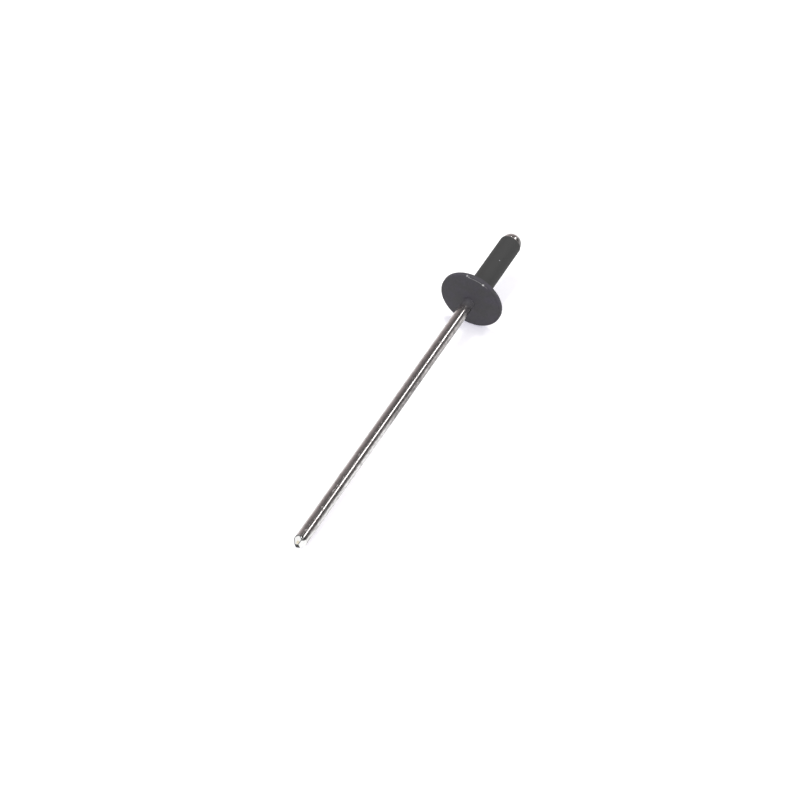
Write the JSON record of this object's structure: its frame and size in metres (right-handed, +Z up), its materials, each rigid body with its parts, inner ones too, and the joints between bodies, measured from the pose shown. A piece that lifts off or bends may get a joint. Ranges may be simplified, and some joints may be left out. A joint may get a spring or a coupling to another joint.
{
  "type": "pop rivet",
  "caption": "Unset blind rivet: black large-flange body with a domed-head steel mandrel whose long stem ends in a pinched cut.",
  "frame": {"origin": "on the surface the rivet rests on, under the middle of its bounding box", "axes": "+Z up; +X from the stem's cut end to the mandrel's head, with the rivet's own axis in the XZ plane and rising 4.55 degrees towards +X, as it rests on the flange's rim and the cut end"},
  "size_m": [0.0936, 0.014, 0.014],
  "materials": {
    "black_coating": "satin black coating on aluminium",
    "drawn_steel": "bright drawn wire"
  },
  "bodies": {
    "root": {"rivet_body": "black_coating", "mandrel": "drawn_steel"}
  },
  "joints": []
}
